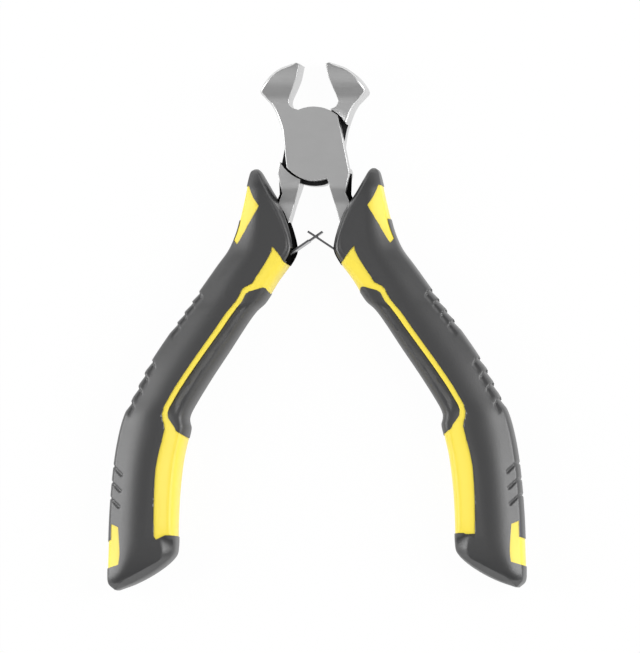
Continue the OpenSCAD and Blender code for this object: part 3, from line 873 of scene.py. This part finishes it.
def lever_slab(node, side):
    bm = merged_copy(node)
    rim = set(outer_edges(bm, side))
    bmesh.ops.delete(bm, geom=bm.faces[:], context="FACES_ONLY")
    bmesh.ops.delete(bm, geom=[edge for edge in bm.edges if edge not in rim], context="EDGES")
    level = Matrix.Translation((0, 0, -pivot.z))
    bmesh.ops.scale(bm, vec=(1, 1, 0), verts=bm.verts, space=level)
    bmesh.ops.translate(bm, vec=(0, 0, -JOINT_HALF), verts=bm.verts)
    bmesh.ops.remove_doubles(bm, verts=bm.verts, dist=SHORTEST_EDGE)
    base = bmesh.ops.contextual_create(bm, geom=bm.edges[:])["faces"]
    grown = bmesh.ops.extrude_face_region(bm, geom=base, use_keep_orig=True)
    raised = [item for item in grown["geom"] if isinstance(item, bmesh.types.BMVert)]
    bmesh.ops.translate(bm, verts=raised, vec=(0, 0, 2 * JOINT_HALF))
    bmesh.ops.recalc_face_normals(bm, faces=bm.faces)
    weight = bm.edges.layers.float.new("bevel_weight_edge")
    for edge in bm.edges:
        ends = [(vert.co - pivot) / MM for vert in edge.verts]
        if abs(ends[0].z - ends[1].z) * MM < JOINT_HALF:
            middle = (ends[0] + ends[1]) / 2
            edge[weight] = rim_round(-side * middle.x, middle.y) / CROWN_ROUND
    return bm


def stations(low, high, count):
    """Evenly spaced places from low to high."""
    return [low + i / count * (high - low) for i in range(count + 1)]


def slice_across(bm, place, direction):
    """Cuts every face that a plane at that place crosses."""
    everything = bm.verts[:] + bm.edges[:] + bm.faces[:]
    bmesh.ops.bisect_plane(bm, geom=everything, dist=WELD, plane_co=place, plane_no=direction)


def ground(lever):
    """Rounds the slab's rims by their weights, and gives each slice of it its thickness."""
    belt = lever.modifiers.new("ground_rims", "BEVEL")
    belt.limit_method = "WEIGHT"
    belt.width = CROWN_ROUND * MM
    belt.segments = ROUND_SEGMENTS
    belt.use_clamp_overlap = False
    settle(lever)
    bm = bmesh.new()
    bm.from_mesh(lever.data)
    thinning = stations(*THINNING_ENDS, THINNING_SLICES)
    swelling = stations(SWELL[0][0], SWELL[-1][0], SWELL_SLICES)
    for y in thinning + swelling:
        slice_across(bm, (0, pivot.y + y * MM, 0), (0, 1, 0))
    for vert in bm.verts:
        scale = half_thickness((vert.co.y - pivot.y) / MM) * MM / JOINT_HALF
        vert.co.z = pivot.z + scale * (vert.co.z - pivot.z)
    bm.to_mesh(lever.data)
    bm.free()


slab = lever_slab("front_lever", 1)
print("front lever outline:", len(slab.verts) // 2, "points")
slab.free()

# %% [markdown]
# The lap is then milled out of each slab, half of its depth, with round room for the other lever's plate to
# turn in. Belts don't reach in there, so the lap keeps the black oxide that the forging got in hardening.
# The cutter carries that finish, and the modifier hands it on to the faces that it cuts. A Weighted Normal
# modifier then keeps the broad faces looking flat, right up to their rounds.

# %% Levers
LAP_HALF_GAP = 0.03 * MM
PLATE_ROOM = 7.65 * MM
LOBE_ROOM = 8.55 * MM
RIVET_RADIUS = 2.3 * MM
RIVET_TOP = 2.8 * MM
HEAD_RADIUS = 3.45 * MM
HEAD_FLOOR = -2.55 * MM
LOBE_BESIDE = (-2.7, 9.5)
ROOM_STEPS = 180


def room_outline(upper, lower):
    """A circle round the pivot that has one radius above it and another below it."""
    points = []
    for k in range(ROOM_STEPS):
        angle = 2 * math.pi * k / ROOM_STEPS
        points.append(pivot + turned(angle, lower if math.sin(angle) < 0 else upper))
    return points


def lap_cutter(upper, lower, low, high, name):
    cutter = prism([room_outline(upper, lower)], low, high, name)
    cutter.data.materials.append(oxide_steel)
    return cutter


def lobe_cutter():
    """Takes the front half off the rear plate's lobe, below the front plate."""
    left, right = LOBE_BESIDE
    corners = [(left, 0), (left, -right), (right, -right), (right, 0)]
    points = [pivot + MM * Vector((x, y, 0)) for x, y in corners]
    cutter = prism([points], -LAP_HALF_GAP, THROUGH, "rear_lobe")
    cutter.data.materials.append(oxide_steel)
    return cutter


def finished_lever(node, side, cutters):
    lever = piece_from(lever_slab(node, side), "ground_" + node)
    ground(lever)
    lever.data.materials.append(satin_steel)
    combine(lever, "DIFFERENCE", *cutters)
    for cutter in cutters:
        bpy.data.objects.remove(cutter)
    return lever


front_lever = finished_lever("front_lever", 1, [
    lap_cutter(PLATE_ROOM, LOBE_ROOM, -THROUGH, LAP_HALF_GAP, "front_lap"),
    lap_cutter(RIVET_RADIUS, RIVET_RADIUS, -THROUGH, RIVET_TOP, "front_bore"),
])
rear_lever = finished_lever("rear_lever", -1, [
    lap_cutter(PLATE_ROOM, PLATE_ROOM, -LAP_HALF_GAP, THROUGH, "rear_lap"),
    lobe_cutter(),
    lap_cutter(RIVET_RADIUS, RIVET_RADIUS, -THROUGH, THROUGH, "rear_bore"),
    lap_cutter(HEAD_RADIUS, HEAD_RADIUS, -THROUGH, HEAD_FLOOR, "head_recess"),
])
levers = [(front_lever, "front_lever", "front_half"), (rear_lever, "rear_lever", "rear_half")]
for lever, node, body in levers:
    stand_for(lever, node, body)
    lever.modifiers.new("flat_faces", "WEIGHTED_NORMAL").keep_sharp = True
    print(lever.name, "has", [finish.name for finish in lever.data.materials])

# %% [markdown]
# ## Springs and rivets
# Two bent strips of spring steel cross between the grips. The tongue of the left one passes through the
# slot of the right one, so each tip slides along the other leaf when the tool closes. Each leaf is cut into
# short lengths along its blade.

# %% Spring leaves
BLADE_SLICES = 24
MIRRORED = {"right": Vector((1, 1, 1)), "left": Vector((-1, 1, 1))}


def sliced_leaf(node, name, bend, tip):
    bm = merged_copy(node)
    along = (tip - bend).normalized()
    for i in range(1, BLADE_SLICES):
        slice_across(bm, bend.lerp(tip, i / BLADE_SLICES), along)
    return piece_from(bm, name)


for side, own, other in (("right", "front_half", "rear_half"), ("left", "rear_half", "front_half")):
    bend = leaf_bend * MIRRORED[side]
    tip = blade_tip * MIRRORED[side]
    leaf = sliced_leaf(side + "_spring_leaf", side + "_bent_leaf", bend, tip)
    leaf.data.materials.append(spring_steel)
    smooth(leaf)
    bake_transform(leaf)
    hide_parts(side + "_spring_leaf")
    print(leaf.name, len(leaf.data.polygons), "faces")

# %% [markdown]
# The pivot is a blind rivet with a flush head at the back, and each leaf is held by a small flat-headed
# rivet inside its grip. Their solids have the right shape, so they stay and only take the turned finish.

# %% Rivets
for node in ("pivot_rivet", "left_spring_rivet", "right_spring_rivet"):
    nodes[node].material_slots[0].material = rivet_steel
    print(node, "keeps its solid")
